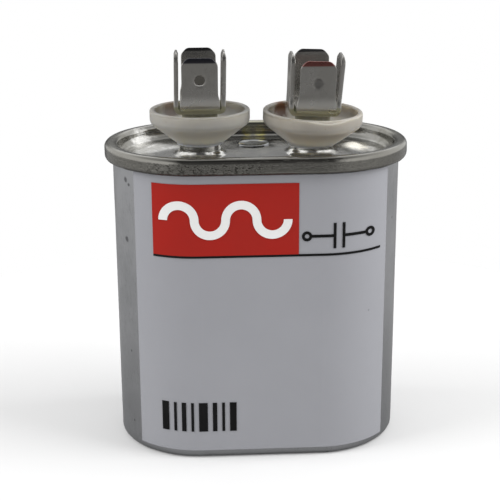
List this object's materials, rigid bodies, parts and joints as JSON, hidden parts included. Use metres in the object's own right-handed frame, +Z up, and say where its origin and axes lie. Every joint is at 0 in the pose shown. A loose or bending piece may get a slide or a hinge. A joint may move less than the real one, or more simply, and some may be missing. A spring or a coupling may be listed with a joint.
{
  "type": "motor run capacitor",
  "caption": "Small oval metal-cased AC capacitor with a double-seamed lid and push-on tabs standing in cup insulators, with a banded label on its front.",
  "frame": {"origin": "centre of the base, on the surface that the can stands on", "axes": "+X along the oval from the left terminal to the right one, -Y out of the labelled front, +Z up along the can towards the terminals"},
  "size_m": [0.0548, 0.0334, 0.072],
  "materials": {
    "can_aluminium": "drawn, satin, with fine scuffs",
    "tinplate": "bright tin plate, lightly scratched",
    "solder": "soft solder with a little yellow flux",
    "cup_plastic": "translucent off-white, moulded, waxy",
    "tinned_brass": "tin plated, satin",
    "rivet_brass": "tin plated, satin",
    "gasket_rubber": "matt",
    "bush_plastic": "moulded, matt",
    "tinned_wire": "tinned copper",
    "fibre_board": "pressed fibre board",
    "metallised_film": "metallised plastic film",
    "core_plastic": "moulded, matt",
    "zinc_spray": "sprayed zinc, rough",
    "wrap_paper": "insulating paper",
    "label_film": "silvery film, satin",
    "red_ink": "printed, satin",
    "black_ink": "printed, satin",
    "white_ink": "printed, satin"
  },
  "bodies": {
    "root": {"can": "can_aluminium", "lid": "tinplate", "vent_seal": "solder", "left_cup": "cup_plastic", "right_cup": "cup_plastic", "left_side_tabs": "tinned_brass", "left_cross_tabs": "tinned_brass", "right_side_tabs": "tinned_brass", "right_cross_tabs": "tinned_brass", "left_rivet": "rivet_brass", "right_rivet": "rivet_brass", "left_gasket": "gasket_rubber", "right_gasket": "gasket_rubber", "left_bush": "bush_plastic", "right_bush": "bush_plastic", "left_solder_lug": "tinned_brass", "right_solder_lug": "tinned_brass", "left_lead": "tinned_wire", "right_lead": "tinned_wire", "interrupter_plate": "fibre_board", "film_winding": "metallised_film", "winding_core": "core_plastic", "top_end_spray": "zinc_spray", "bottom_end_spray": "zinc_spray", "insulating_wrap": "wrap_paper", "bottom_insulator": "core_plastic", "label": "label_film", "red_field": "red_ink", "black_rule": "black_ink", "white_wave": "white_ink", "black_bars": "black_ink", "circuit_sign": "black_ink"}
  },
  "joints": []
}
